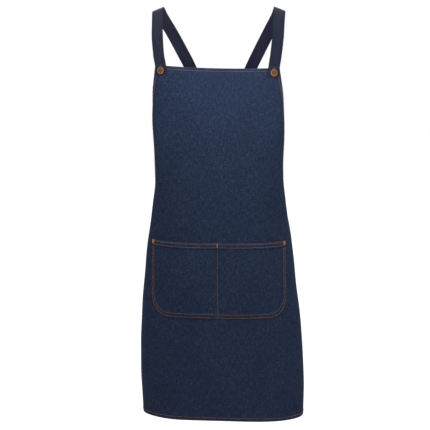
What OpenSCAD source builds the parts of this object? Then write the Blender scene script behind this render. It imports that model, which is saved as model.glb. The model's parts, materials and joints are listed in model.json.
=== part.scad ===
// Cross-back bib apron of heavy denim, in the shape that it takes when it is worn.
// The origin is midway between the two shoulder rests of the straps, +Z is up and the wearer faces -Y.
// A place on the cloth is [u, s]: u runs across from the centre line, s runs down from the bib's top edge.

/* [Panel] */
// Length of the panel, from the top edge of the bib to the hem
panel_length = 710; // [690:5:730]
// Flat half-width of the panel below the arm curves
wing_half = 316; // [312:1:322]
// Flat half-width of the bib at its top edge
bib_half = 130; // [126:1:134]
// Thickness of one layer of denim
denim = 1; // [0.8:0.1:1.2]
// Width of the turned hem on every edge
hem_width = 10; // [8:1:12]
// Thickness of a turned hem
hem_thick = 2.6; // [2.4:0.1:3]
// How far the middle of the bib's top edge sags
bib_sag = 5; // [2:1:8]
// Height of the shoulder rests above the corners of the bib
strap_drop = 118; // [114:1:121]

/* [Pocket] */
// Flat half-width of the pocket
pocket_half = 152; // [145:1:155]
// Height of the pocket
pocket_height = 152; // [140:1:160]
// Distance from the bib's top edge to the pocket's top edge
pocket_top = 353; // [345:1:354]
// Radius of the pocket's bottom corners
pocket_round = 46; // [35:1:50]
// How far each compartment's mouth stands off the panel
pocket_gape = 11; // [9:1:12]

/* [Straps] */
// Width of the strap tape
strap_width = 25; // [22:1:27]
// Thickness of the strap tape
strap_thick = 1.6; // [1.2:0.1:1.8]
// Length of strap below the middle of each button
strap_tail = 10; // [9:1:12]

/* [Buttons] */
// Diameter of a button's cap
cap_d = 14; // [13:0.5:15]
// Diameter of the shank that passes through the strap
shank_d = 6; // [5:0.5:6.5]
// Diameter of the tack's nail
nail_d = 2.2; // [1.8:0.1:2.6]

/* [Thread] */
// Thickness of the contrast thread
thread_d = 1; // [0.8:0.1:1.2]
// Distance from an edge to its hem stitching
stitch_inset = 6.5; // [6:0.5:8]
// Distance between the two rows of a double seam
row_gap = 6.5; // [6:0.5:8]

/* [Hidden] */

left = -1;
right = 1;
denim_blue = [0.17, 0.22, 0.31];
pocket_blue = [0.16, 0.2, 0.28];
strap_navy = [0.16, 0.17, 0.25];
copper_thread = [0.72, 0.41, 0.17];
antique_brass = [0.45, 0.34, 0.24];

// The worn body at each distance down the panel: half-width, half-depth and the middle's Y.
body_half_width = [[0, 148], [60, 135], [110, 134], [230, 131], [290, 138], [350, 148], [430, 156],
    [510, 164], [620, 169], [710, 167]];
body_half_depth = [[0, 66], [60, 56], [120, 54], [230, 68], [350, 100], [550, 110], [710, 115]];
body_middle = [[0, -32], [60, -44], [120, -48], [230, -31], [350, -2], [710, -2]];
// The skirt swings towards +X, and the cloth drops by this much for each millimetre across.
body_sway = [[0, 0], [200, 2], [430, 2], [550, 5], [650, 9], [710, 11]];
cloth_slant = [[0, 0.025], [350, 0.008], [710, 0.016]];
// The hem hangs lower beside its middle, within this distance of it.
hem_dip = 5;
dip_reach = 290;
dip_power = 4;
side_roundness = 0.6;
sag_depth = 100;

// The side edge: the bib widens a little, then a curve sweeps out to the wing's top corner.
bib_flare = [[0, 0], [30, 6], [75, 20], [120, 28], [215, 33]];
arm_start = 215;
arm_height = 115;
arm_power = 0.8;
wing_top = arm_start + arm_height;

// Where the buttons sit on the cloth.
front_button_u = 115;
front_button_s = 10;
rear_button_u = wing_half - 14;
rear_button_s = wing_top + 14;

// Clearances along a button's axis, from the cloth outwards.
strap_gap = 0.7;
strap_middle = strap_gap + strap_thick / 2;
cap_base = strap_gap + strap_thick + 0.7;
cap_height = 3.4;
run_clearance = 0.05;
hole_d = shank_d + 1.2;
cut_gap = 0.3;
pocket_seat = 0.05;
thread_sink = 0.1;

function unit(v) = v / norm(v);
function mix(a, b, t) = a + (b - a) * t;
function clamp01(t) = min(1, max(0, t));
function span(a, b, n) = [for (i = [0 : n]) mix(a, b, i / n)];

// A smooth curve through a short list of [place, value] knots. A value is a number or a point.
function knot_slope(k, i) =
    let (a = max(i - 1, 0), b = min(i + 1, len(k) - 1))
    (k[b][1] - k[a][1]) / (k[b][0] - k[a][0]);
function curve(x, k, i = 0) =
    x <= k[0][0] ? k[0][1] :
    x >= k[len(k) - 1][0] ? k[len(k) - 1][1] :
    x > k[i + 1][0] ? curve(x, k, i + 1) :
    let (h = k[i + 1][0] - k[i][0], t = (x - k[i][0]) / h)
    k[i][1] * (2 * t ^ 3 - 3 * t ^ 2 + 1) + knot_slope(k, i) * h * (t ^ 3 - 2 * t ^ 2 + t)
    + k[i + 1][1] * (3 * t ^ 2 - 2 * t ^ 3) + knot_slope(k, i + 1) * h * (t ^ 3 - t ^ 2);

// A four-centred oval, followed for the length u from its front: [x, y, angle of the outward normal from -Y].
function oval(u, a, b) =
    let (
        r = side_roundness * b,
        big = ((a - r) ^ 2 + b ^ 2 - r ^ 2) / (2 * (b - r)),
        turn = atan2(a - r, big - b),
        front = big * turn * PI / 180,
        side = r * (180 - 2 * turn) * PI / 180,
        m = abs(u),
        angle = m < front ? m / big * 180 / PI :
            m < front + side ? turn + (m - front) / r * 180 / PI :
            180 - turn + (m - front - side) / big * 180 / PI,
        x = m < front || m > front + side ? big * sin(angle) : a - r + r * sin(angle),
        y = m < front ? big - b - big * cos(angle) :
            m < front + side ? -r * cos(angle) :
            b - big - big * cos(angle)
    )
    [sign(u) * x, y, sign(u) * angle];

// The point that stands out from the cloth's outer face at [u, s].
function cloth(u, s, out = 0) =
    let (
        o = oval(u, curve(s, body_half_width), curve(s, body_half_depth)),
        sag = bib_sag * max(0, 1 - (u / bib_half) ^ 2) * max(0, 1 - s / sag_depth) ^ 2,
        slant = o.x * curve(s, cloth_slant),
        dip = hem_dip * sin(180 * min(1, abs(u) / dip_reach)) ^ 2 * (s / panel_length) ^ dip_power
    )
    [o.x + curve(s, body_sway) + out * sin(o.z), o.y + curve(s, body_middle) - out * cos(o.z),
     -strap_drop - s - sag - slant - dip];

function normal_at(u, s) =
    unit(cross(cloth(u + 1, s) - cloth(u - 1, s), cloth(u, s - 1) - cloth(u, s + 1)));

// The side edge for q from 0, at the bib's corner, through 1, where the arm curve starts, to 2, at the wing's
// corner.
function side_edge(q) =
    q < 1 ? [bib_half + curve(q * arm_start, bib_flare), q * arm_start] :
    let (base = bib_half + curve(arm_start, bib_flare), a = 90 * (q - 1))
    [base + (wing_half - base) * (1 - max(0, cos(a)) ^ arm_power),
     arm_start + arm_height * sin(a) ^ arm_power];
function side_inset(q, d) =
    let (t = unit(side_edge(min(2, q + 0.01)) - side_edge(max(0, q - 0.01))))
    side_edge(q) + d * [-t.y, t.x];

// Rows down the panel as [s, half-width], with a narrow step at the inner side of each hem.
hem_step = 0.5;
panel_rows = concat(
    [for (s = [0, hem_width - hem_step, hem_width + hem_step]) [s, bib_half + curve(s, bib_flare)]],
    [for (q = span(0.18, 0.94, 7)) [side_edge(q).y, side_edge(q).x]],
    [for (q = span(1, 2, 10)) [side_edge(q).y, side_edge(q).x]],
    [for (s = span(wing_top + hem_width, panel_length - hem_width - hem_step, 13)) [s, wing_half]],
    [for (s = [panel_length - hem_width + hem_step, panel_length]) [s, wing_half]]
);
column_count = 40;

function panel_columns(w) = concat(
    [-w, -w + hem_width - hem_step],
    span(-w + hem_width + hem_step, w - hem_width - hem_step, column_count),
    [w - hem_width + hem_step, w]
);
function panel_depth(j, row) =
    let (last = column_count + 4)
    j < 2 || j > last - 2 || row[0] < hem_width || row[0] > panel_length - hem_width ?
        hem_thick : denim;

// A closed solid between two grids of points: the outer face and the inner face.
module sheet_solid(outer, inner) {
    rows = len(outer);
    cols = len(outer[0]);
    total = rows * cols;
    points = concat([for (r = outer) each r], [for (r = inner) each r]);
    function at(i, j) = i * cols + j;
    faces = concat(
        [for (i = [0 : rows - 2], j = [0 : cols - 2]) each
            [[at(i, j), at(i, j + 1), at(i + 1, j + 1)], [at(i, j), at(i + 1, j + 1), at(i + 1, j)]]],
        [for (i = [0 : rows - 2], j = [0 : cols - 2]) each
            [[total + at(i, j), total + at(i + 1, j + 1), total + at(i, j + 1)],
             [total + at(i, j), total + at(i + 1, j), total + at(i + 1, j + 1)]]],
        [for (j = [0 : cols - 2]) each
            [[at(0, j), total + at(0, j), total + at(0, j + 1)],
             [at(0, j), total + at(0, j + 1), at(0, j + 1)]]],
        [for (j = [0 : cols - 2], i = [rows - 1]) each
            [[at(i, j), total + at(i, j + 1), total + at(i, j)],
             [at(i, j), at(i, j + 1), total + at(i, j + 1)]]],
        [for (i = [0 : rows - 2]) each
            [[at(i, 0), total + at(i + 1, 0), total + at(i, 0)],
             [at(i, 0), at(i + 1, 0), total + at(i + 1, 0)]]],
        [for (i = [0 : rows - 2], j = [cols - 1]) each
            [[at(i, j), total + at(i, j), total + at(i + 1, j)],
             [at(i, j), total + at(i + 1, j), at(i + 1, j)]]]
    );
    polyhedron(points, faces, convexity = 10);
}

// A closed solid swept along a path. Each section point is [across, outwards].
module sweep(path, normals, section) {
    n = len(path);
    rings = [for (i = [0 : n - 1])
        let (
            t = unit(path[min(i + 1, n - 1)] - path[max(i - 1, 0)]),
            across = unit(cross(t, normals[i])),
            out = cross(across, t)
        )
        [for (c = section) path[i] + c.x * across + c.y * out]];
    ring_solid(rings);
}

module ring_solid(rings) {
    n = len(rings);
    m = len(rings[0]);
    faces = concat(
        [for (i = [0 : n - 2], j = [0 : m - 1]) each
            [[i * m + j, i * m + (j + 1) % m, (i + 1) * m + (j + 1) % m],
             [i * m + j, (i + 1) * m + (j + 1) % m, (i + 1) * m + j]]],
        [[for (j = [m - 1 : -1 : 0]) j], [for (j = [0 : m - 1]) (n - 1) * m + j]]
    );
    polyhedron([for (r = rings) each r], faces, convexity = 10);
}

// Thread laid on the cloth along a list of [u, s], raised by lift.
module stitching(route, lift = 0, width = thread_d, height = thread_d) {
    path = [for (p = route) cloth(p.x, p.y, lift - thread_sink)];
    normals = [for (p = route) normal_at(p.x, p.y)];
    section = [for (a = [0 : 60 : 300]) [width / 2 * cos(a), height / 2 * sin(a)]];
    color(copper_thread) sweep(path, normals, section);
}

// ---- Panel and pocket ----

module apron_panel() {
    outer = [for (row = panel_rows) [for (u = panel_columns(row[1])) cloth(u, row[0])]];
    inner = [for (row = panel_rows)
        let (cols = panel_columns(row[1]))
        [for (j = [0 : len(cols) - 1]) cloth(cols[j], row[0], -panel_depth(j, row))]];
    color(denim_blue) sheet_solid(outer, inner);
}

// The pocket's half-width at a depth d below its mouth, with round bottom corners.
function pocket_edge(d) =
    let (over = max(0, d - pocket_height + pocket_round))
    pocket_half - pocket_round + sqrt(max(0, pocket_round ^ 2 - over ^ 2));

// How far the pocket's inner face stands off the panel. Each compartment is sewn down on three sides.
function pocket_stand(u, d) =
    let (
        across = clamp01(abs(u) / pocket_edge(d)),
        deep = d / pocket_height
    )
    pocket_seat + pocket_gape * sin(180 * across) ^ 0.8 * (1 - deep ^ 3);

pocket_rows = concat(
    [0, hem_width - hem_step, hem_width + hem_step],
    span(25, pocket_height - pocket_round, 6),
    [for (a = [18 : 18 : 72]) pocket_height - pocket_round + pocket_round * sin(a)],
    [pocket_height]
);
pocket_columns = span(-1, 1, 36);

module pocket_panel() {
    inner = [for (d = pocket_rows) [for (v = pocket_columns)
        let (u = v * pocket_edge(d))
        cloth(u, pocket_top + d, pocket_stand(u, d))]];
    outer = [for (d = pocket_rows) [for (v = pocket_columns)
        let (u = v * pocket_edge(d))
        cloth(u, pocket_top + d, pocket_stand(u, d) + (d < hem_width ? hem_thick : denim))]];
    color(pocket_blue) sheet_solid(outer, inner);
}

// Thread laid on the pocket along a list of [u, depth].
module pocket_stitching(route, width = thread_d, height = thread_d) {
    lifts = [for (p = route) pocket_stand(p.x, p.y) + (p.y < hem_width ? hem_thick : denim) - thread_sink];
    path = [for (i = [0 : len(route) - 1]) cloth(route[i].x, pocket_top + route[i].y, lifts[i])];
    normals = [for (p = route) normal_at(p.x, pocket_top + p.y)];
    section = [for (a = [0 : 60 : 300]) [width / 2 * cos(a), height / 2 * sin(a)]];
    color(copper_thread) sweep(path, normals, section);
}

// ---- Straps ----

// The strap's middle line after the front button, for the right side: place, then the way its face looks.
front_points = [
    [[117.5, -74, -96], [0.4, -0.92, 0.06]],
    [[121.5, -59, -57], [0.36, -0.84, 0.4]],
    [[123.5, -29, -17], [0.37, -0.5, 0.78]],
    [[124.5, 0, 0.8], [0.37, 0, 0.93]]
];
back_points = [
    [[118.5, 30, -13], [0.3, 0.5, 0.81]],
    [[102, 60, -42], [0.1, 0.84, 0.5]],
    [[82, 81, -80], [0.04, 0.97, 0.22]],
    [[65, 92, -114], [0, 0.99, 0.12]],
    [[32, 102, -188], [0, 1, 0.03]],
    [[0, 105, -263], [0, 1, 0]],
    [[-33, 104, -338], [-0.1, 1, -0.03]],
    [[-62, 94, -402], [-0.35, 0.93, -0.05]]
];
crossing_lift = 1.3;
crossing_z = -263;
crossing_reach = 90;

function flip(side, p) = [side * p.x, p.y, p.z];
function front_axis(side) = normal_at(side * front_button_u, front_button_s);
function rear_axis(side) = normal_at(-side * rear_button_u, rear_button_s);
function front_middle(side) =
    cloth(side * front_button_u, front_button_s) + strap_middle * front_axis(side);
function rear_middle(side) =
    cloth(-side * rear_button_u, rear_button_s) + strap_middle * rear_axis(side);
function in_plane(v, n) = unit(v - (v * n) * n);
function front_along(side) =
    in_plane(flip(side, front_points[0][0]) - front_middle(side), front_axis(side));
function rear_along(side) =
    in_plane(flip(side, back_points[len(back_points) - 1][0]) - rear_middle(side), rear_axis(side));

// The left strap passes outside the right one where they cross.
function crossing_shift(side, z) =
    let (far = abs(z - crossing_z) / crossing_reach)
    [0, -side * crossing_lift * max(0, 1 - far ^ 2), 0];

flat_end = 17;
function front_knots(side) = concat(
    [[front_middle(side) + flat_end * front_along(side), front_axis(side)]],
    [for (p = front_points) [flip(side, p[0]), flip(side, p[1])]]
);
function back_knots(side) = concat(
    [for (p = back_points) [flip(side, p[0]) + crossing_shift(side, p[0].z), flip(side, p[1])]],
    [[rear_middle(side) + flat_end * rear_along(side), rear_axis(side)]]
);
function whole_knots(side) = concat(front_knots(side), back_knots(side));
function numbered(list, k) = [for (i = [0 : len(list) - 1]) [i, list[i][k]]];

knots_front = len(front_points);
knots_all = knots_front + len(back_points) + 1;
strap_steps = 4;

function strap_section() =
    [[-strap_width / 2, -strap_thick / 2], [strap_width / 2, -strap_thick / 2],
     [strap_width / 2, strap_thick / 2], [-strap_width / 2, strap_thick / 2]];

// One ring of the strap at knot place t, in the plane across the strap.
function strap_ring(t, section, places, faces) =
    let (
        p = curve(t, places),
        along = unit(curve(t + 0.02, places) - curve(t - 0.02, places)),
        across = unit(cross(along, curve(t, faces))),
        out = cross(across, along)
    )
    [for (c = section) p + c.x * across + c.y * out];

// The ring at the top of the shoulder, slid along the strap onto a plane square to the front button's axis.
function crest_ring(side, shift, section, places, faces) =
    let (
        ring = strap_ring(knots_front, section, places, faces),
        along = unit(curve(knots_front + 0.02, places) - curve(knots_front - 0.02, places)),
        axis = front_axis(side),
        middle = curve(knots_front, places) - shift * axis
    )
    [for (p = ring) p + along * (((middle - p) * axis) / (along * axis))];

function flat_ring(middle, along, axis, d, section) =
    let (across = unit(cross(along, axis)))
    [for (c = section) middle + d * along + c.x * across + c.y * axis];

module strap_front_run(side) {
    knots = whole_knots(side);
    places = numbered(knots, 0);
    faces = numbered(knots, 1);
    section = strap_section();
    middle = front_middle(side);
    along = front_along(side);
    axis = front_axis(side);
    rings = concat(
        [for (d = [-strap_tail, 0, flat_end]) flat_ring(middle, along, axis, d, section)],
        [for (t = [1 : knots_front * strap_steps - 1]) strap_ring(t / strap_steps, section, places, faces)],
        [crest_ring(side, -cut_gap, section, places, faces)]
    );
    color(strap_navy) difference() {
        ring_solid(rings);
        place_at(middle, along, axis) keyhole();
    }
}

module strap_back_run(side) {
    knots = whole_knots(side);
    places = numbered(knots, 0);
    faces = numbered(knots, 1);
    section = strap_section();
    middle = rear_middle(side);
    along = -rear_along(side);
    axis = rear_axis(side);
    rings = concat(
        [crest_ring(side, cut_gap, section, places, faces)],
        [for (t = [knots_front * strap_steps + 1 : knots_all * strap_steps - 1])
            strap_ring(t / strap_steps, section, places, faces)],
        [for (d = [-flat_end, 0, strap_tail]) flat_ring(middle, along, axis, d, section)]
    );
    color(strap_navy) difference() {
        ring_solid(rings);
        place_at(middle, -along, axis) keyhole();
    }
}

// Local X along the strap away from its end, local Z outwards.
module place_at(middle, along, axis) {
    across = cross(axis, along);
    multmatrix([
        [along.x, across.x, axis.x, middle.x],
        [along.y, across.y, axis.y, middle.y],
        [along.z, across.z, axis.z, middle.z],
        [0, 0, 0, 1]
    ]) children();
}

slit_width = 1.4;
slit_length = 9;
module keyhole() {
    deep = strap_thick + 2;
    cylinder(d = hole_d, h = deep, center = true, $fn = 48);
    translate([0, -slit_width / 2, -deep / 2]) cube([slit_length, slit_width, deep]);
}

// The turned end's seam and the bound edge of the buttonhole.
module strap_end_stitching(middle, along, axis) {
    place_at(middle, along, axis) color(strap_navy) {
        for (x = [3 - strap_tail, slit_length + 4])
            translate([x - thread_d / 2, 3 - strap_width / 2, strap_thick / 2 - thread_sink])
                cube([thread_d, strap_width - 6, thread_d / 2]);
        translate([0, 0, strap_thick / 2 - thread_sink])
            difference() {
                cylinder(d = hole_d + 3, h = thread_d / 2, $fn = 48);
                translate([0, 0, -1]) cylinder(d = hole_d + 0.4, h = 3, $fn = 48);
                translate([0, -slit_width / 2, -1]) cube([hole_d, slit_width, 3]);
            }
    }
}

// ---- Buttons ----

module button_frame(u, s) {
    axis = normal_at(u, s);
    along = in_plane([0, 0, 1], axis);
    place_at(cloth(u, s), along, axis) children();
}

// The rolled brass cap, with a raised rim round a recessed face, closed underneath by its turned-in lip.
cap_rim = 1.6;
cap_dish = 0.8;
cap_wall = 0.5;
cavity_d = cap_d - 2 * (cap_rim - 0.8);
cavity_height = cap_height - cap_dish - 2 * cap_wall;

module button_cap() {
    r = cap_d / 2;
    color(antique_brass) translate([0, 0, cap_base]) rotate_extrude($fn = 96) difference() {
        union() {
            square([r - cap_rim / 2, cap_height - cap_dish]);
            translate([r - cap_rim, cap_rim / 2]) square([cap_rim, cap_height - cap_rim]);
            translate([r - cap_rim / 2, cap_rim / 2]) circle(d = cap_rim, $fn = 32);
            translate([r - cap_rim / 2, cap_height - cap_rim / 2]) circle(d = cap_rim, $fn = 32);
        }
        translate([-1, cap_wall]) square([cavity_d / 2 + 1, cavity_height]);
        translate([-1, -1]) square([shank_d / 2 + 1.05, 1 + cap_wall + cavity_height / 2]);
        translate([-10, -5]) square([10, 20]);
    }
}

// The moulded core that fills the cap and grips the shank.
module button_insert() {
    color("dimgray") translate([0, 0, cap_base + cap_wall]) difference() {
        cylinder(d = cavity_d, h = cavity_height, $fn = 64);
        translate([0, 0, -1]) cylinder(d = shank_d, h = cavity_height + 2, $fn = 48);
    }
}

// The tube that stands on the cloth and turns on the tack's nail.
shank_foot = 0.4;
module button_shank() {
    shank_top = cap_base + cap_wall + cavity_height;
    color(antique_brass) difference() {
        translate([0, 0, shank_foot]) cylinder(d = shank_d, h = shank_top - shank_foot, $fn = 48);
        translate([0, 0, -1]) cylinder(d = nail_d + 2 * run_clearance, h = shank_top + 2, $fn = 48);
    }
}

// The tack: a flat head inside the cloth, and a pointed nail that goes out through it.
tack_head_d = 9;
tack_head_thick = 0.9;
nail_point = 1.2;
module button_tack() {
    color(antique_brass) {
        translate([0, 0, -hem_thick - tack_head_thick])
            cylinder(d = tack_head_d, h = tack_head_thick, $fn = 64);
        translate([0, 0, -hem_thick]) cylinder(d = nail_d, h = hem_thick + cap_base, $fn = 48);
        translate([0, 0, cap_base]) cylinder(d1 = nail_d, d2 = nail_d / 4, h = nail_point, $fn = 48);
    }
}

// ---- Stitching ----

module bib_top_stitching() {
    half = front_button_u - strap_width / 2 - 4;
    stitching([for (u = span(-half, half, 14)) [u, stitch_inset]]);
}

module hem_stitching() {
    half = wing_half - stitch_inset;
    stitching([for (u = span(-half, half, 44)) [u, panel_length - stitch_inset]]);
}

module side_stitching(side) {
    route = [for (q = concat(span(0.12, 0.95, 10), span(1, 1.93, 11))) side_inset(q, stitch_inset)];
    stitching([for (p = route) [side * p.x, p.y]]);
}

module wing_stitching(side) {
    start = rear_button_s + strap_tail + 6;
    u = side * (wing_half - stitch_inset);
    stitching([for (s = span(start, panel_length - stitch_inset, 22)) [u, s]]);
}

module pocket_top_stitching() {
    reach = pocket_half - 6;
    for (d = [2.5, 2.5 + row_gap])
        pocket_stitching([for (u = span(-reach, reach, 24)) [u, d]]);
}

// A row round the pocket's sides and bottom, inset from its edge.
function pocket_row(inset) =
    let (
        x = pocket_half - inset,
        r = pocket_round - inset,
        low = pocket_height - inset,
        corner = [for (a = [0 : 15 : 90]) [x - r + r * cos(a), low - r + r * sin(a)]],
        side = [for (d = span(13, low - r - 8, 6)) [x, d]],
        bottom = [for (u = span(x - r - 12, 0, 6)) [u, low]],
        half = concat(side, corner, bottom)
    )
    concat([for (p = half) [-p.x, p.y]], [for (i = [len(half) - 2 : -1 : 0]) half[i]]);

module pocket_edge_stitching() {
    for (inset = [2, 2 + row_gap])
        pocket_stitching(pocket_row(inset));
}

module pocket_divider_stitching() {
    pocket_stitching([for (d = span(14, pocket_height - 12, 10)) [0, d]]);
}

bar_width = 2.2;
module bar_tack(route) {
    pocket_stitching(route, bar_width, thread_d * 1.4);
}

module side_bar_tack(side) {
    x = side * (pocket_half - 4.5);
    for (d = [1.8, 4.4, 7])
        bar_tack([for (dx = [-4, 0, 4]) [x + dx, d]]);
}

// ---- Assembly ----

apron_panel();
pocket_panel();
strap_front_run(left);  // left_strap_front_run
strap_back_run(left);  // left_strap_back_run
strap_front_run(right);  // right_strap_front_run
strap_back_run(right);  // right_strap_back_run

button_frame(-front_button_u, front_button_s) button_cap();  // front_left_cap
button_frame(-front_button_u, front_button_s) button_insert();  // front_left_insert
button_frame(-front_button_u, front_button_s) button_shank();  // front_left_shank
button_frame(-front_button_u, front_button_s) button_tack();  // front_left_tack
button_frame(front_button_u, front_button_s) button_cap();  // front_right_cap
button_frame(front_button_u, front_button_s) button_insert();  // front_right_insert
button_frame(front_button_u, front_button_s) button_shank();  // front_right_shank
button_frame(front_button_u, front_button_s) button_tack();  // front_right_tack
button_frame(-rear_button_u, rear_button_s) button_cap();  // rear_left_cap
button_frame(-rear_button_u, rear_button_s) button_insert();  // rear_left_insert
button_frame(-rear_button_u, rear_button_s) button_shank();  // rear_left_shank
button_frame(-rear_button_u, rear_button_s) button_tack();  // rear_left_tack
button_frame(rear_button_u, rear_button_s) button_cap();  // rear_right_cap
button_frame(rear_button_u, rear_button_s) button_insert();  // rear_right_insert
button_frame(rear_button_u, rear_button_s) button_shank();  // rear_right_shank
button_frame(rear_button_u, rear_button_s) button_tack();  // rear_right_tack

bib_top_stitching();
hem_stitching();
side_stitching(left);  // left_side_stitching
side_stitching(right);  // right_side_stitching
wing_stitching(left);  // left_wing_stitching
wing_stitching(right);  // right_wing_stitching
pocket_top_stitching();
pocket_edge_stitching();
pocket_divider_stitching();
side_bar_tack(left);  // left_bar_tack
bar_tack([[0, 1.5], [0, 5.5], [0, 9.5]]);  // centre_bar_tack
side_bar_tack(right);  // right_bar_tack
strap_end_stitching(front_middle(left), front_along(left), front_axis(left));  // left_strap_front_stitching
strap_end_stitching(rear_middle(left), rear_along(left), rear_axis(left));  // left_strap_rear_stitching
strap_end_stitching(front_middle(right), front_along(right), front_axis(right));  // right_strap_front_stitching
strap_end_stitching(rear_middle(right), rear_along(right), rear_axis(right));  // right_strap_rear_stitching
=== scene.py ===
"""The looks of a cross-back bib apron: denim, tape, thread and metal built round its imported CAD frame.

Shape functions work in millimetres, and meshes are in metres. A place on the cloth is [u, s], across from the
centre line and down from the bib's top edge. A place on the pocket is [u, d], with d down from its mouth.
"""

import json
import math

import bpy
import numpy as np
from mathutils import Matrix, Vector
from mathutils.geometry import delaunay_2d_cdt


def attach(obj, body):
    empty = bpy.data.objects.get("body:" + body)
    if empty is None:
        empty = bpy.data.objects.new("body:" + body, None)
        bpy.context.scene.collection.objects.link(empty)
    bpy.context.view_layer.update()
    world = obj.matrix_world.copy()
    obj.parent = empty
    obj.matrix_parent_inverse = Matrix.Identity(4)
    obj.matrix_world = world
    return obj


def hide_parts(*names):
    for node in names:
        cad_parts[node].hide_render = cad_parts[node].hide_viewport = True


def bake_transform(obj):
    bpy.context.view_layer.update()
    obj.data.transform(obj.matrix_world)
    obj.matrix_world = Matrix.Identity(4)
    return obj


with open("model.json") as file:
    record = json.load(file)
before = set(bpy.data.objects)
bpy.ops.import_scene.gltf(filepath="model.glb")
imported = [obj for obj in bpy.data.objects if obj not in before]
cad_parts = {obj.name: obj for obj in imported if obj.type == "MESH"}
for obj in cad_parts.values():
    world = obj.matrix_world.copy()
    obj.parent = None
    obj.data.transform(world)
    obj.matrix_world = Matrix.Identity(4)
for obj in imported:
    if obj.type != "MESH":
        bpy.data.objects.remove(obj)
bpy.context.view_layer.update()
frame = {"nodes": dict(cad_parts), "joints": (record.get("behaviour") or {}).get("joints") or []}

MM = 0.001
SEED = 7
LEFT, RIGHT = -1, 1
SIDES = {"left": LEFT, "right": RIGHT}
SIDE_WORDS = {LEFT: "left", RIGHT: "right"}
JOINTS = {joint["name"]: joint for joint in frame["joints"]}

# ---- Sizes of the worn cloth. Its outline and its worn shape are the CAD source's. ----

PANEL_LENGTH = 710
WING_HALF = 316
BIB_HALF = 130
BIB_SAG = 5
SAG_DEPTH = 100
HEM = 10
HEM_THICK = 2.4
DENIM = 0.8
BODY_HALF_WIDTH = [
    (0, 148), (60, 135), (110, 134), (230, 131), (290, 138),
    (350, 148), (430, 156), (510, 164), (620, 169), (710, 167),
]
BODY_HALF_DEPTH = [(0, 66), (60, 56), (120, 54), (230, 68), (350, 100), (550, 110), (710, 115)]
BODY_MIDDLE = [(0, -32), (60, -44), (120, -48), (230, -31), (350, -2), (710, -2)]
BODY_SWAY = [(0, 0), (200, 2), (430, 2), (550, 5), (650, 9), (710, 11)]
CLOTH_SLANT = [(0, 0.025), (350, 0.008), (710, 0.016)]
HEM_DIP, DIP_REACH, DIP_POWER = 5, 290, 4
SIDE_ROUNDNESS = 0.6
BIB_FLARE = [(0, 0), (30, 6), (75, 20), (120, 28), (215, 33)]
ARM_START, ARM_HEIGHT, ARM_POWER = 215, 115, 0.8
WING_TOP = ARM_START + ARM_HEIGHT
FRONT_BUTTON = (115, 10)
REAR_BUTTON = (WING_HALF - 14, WING_TOP + 14)
# Round a button the cloth is thick as far as the pad. Its folds start and are whole at the other distances.
BUTTON_PAD, BUTTON_CALM = 12.5, (15, 48)


def panel_top():
    """How far the bib's top edge is below the origin, from where the two front buttons are."""
    u, s = FRONT_BUTTON
    level = sum(JOINTS[f"front_{word}_button_spin"]["pos_m"][2] for word in SIDES) / len(SIDES) / MM
    return -level - s - BIB_SAG * (1 - (u / BIB_HALF) ** 2) * (1 - s / SAG_DEPTH) ** 2


PANEL_TOP = panel_top()

POCKET_HALF, POCKET_HEIGHT, POCKET_TOP, POCKET_ROUND = 152, 152, 353, 46
MOUTH_RISE = 2.4
POCKET_SEAT, POCKET_GAPE = 0.05, 11
POCKET_SIDE_THICK = 1.7

STITCH_INSET = 6.5
ROW_GAP = 6.5
POCKET_TOP_ROW, POCKET_EDGE_ROW = 2.5, 2
THREAD_RADIUS = 0.42
STITCH_PITCH, STITCH_LENGTH = 3.3, 2.6
# How far a row of thread pulls the cloth in, and how far in from an edge its wear and its painted highlight
# are painted.
GROOVE_DEPTH = 0.22
WEAR_AND_HIGHLIGHT_REACH = 12

# ---- Small helpers ----


def unit(v):
    return v / np.linalg.norm(v, axis=-1, keepdims=True)


def smoothstep(x, low, high):
    t = np.clip((x - low) / (high - low), 0, 1)
    return t * t * (3 - 2 * t)


def bell(x, width):
    return np.exp(-((x / width) ** 2))


def curve(x, knots):
    """A smooth curve through [place, value] knots, where a value is a number or a point."""
    places = np.array([k[0] for k in knots], float)
    values = np.array([k[1] for k in knots], float)
    last = len(knots) - 1
    after = np.minimum(np.arange(last + 1) + 1, last)
    before = np.maximum(np.arange(last + 1) - 1, 0)
    run = (places[after] - places[before]).reshape((-1,) + (1,) * (values.ndim - 1))
    slopes = (values[after] - values[before]) / run
    x = np.clip(np.asarray(x, float), places[0], places[-1])
    i = np.clip(np.searchsorted(places, x, side="left") - 1, 0, last - 1)
    h = places[i + 1] - places[i]
    t = (x - places[i]) / h
    if values.ndim > 1:
        h, t = h[..., None], t[..., None]
    start = values[i] * (2 * t**3 - 3 * t**2 + 1) + slopes[i] * h * (t**3 - 2 * t**2 + t)
    return start + values[i + 1] * (3 * t**2 - 2 * t**3) + slopes[i + 1] * h * (t**3 - t**2)


def wave_field(seed, count, shortest, longest, upright=1.0):
    """A smooth random height, about 1 high. Its folds run down the cloth where upright is over 1."""
    rng = np.random.default_rng(seed)
    turn, phase = rng.uniform(0, math.tau, (2, count))
    rate = math.tau / rng.uniform(shortest, longest, count)
    across, down = rate * np.cos(turn), rate * np.sin(turn) / upright

    def height(u, s):
        u, s = np.asarray(u, float)[..., None], np.asarray(s, float)[..., None]
        return np.sin(across * u + down * s + phase).sum(-1) / math.sqrt(count)

    return height


def lengths_along(line):
    return np.concatenate([[0], np.cumsum(np.linalg.norm(np.diff(line, axis=0), axis=1))])


def followed(place, along, line):
    """The points of a line at the lengths in place."""
    return np.stack([np.interp(place, along, column) for column in line.T], -1)


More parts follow.
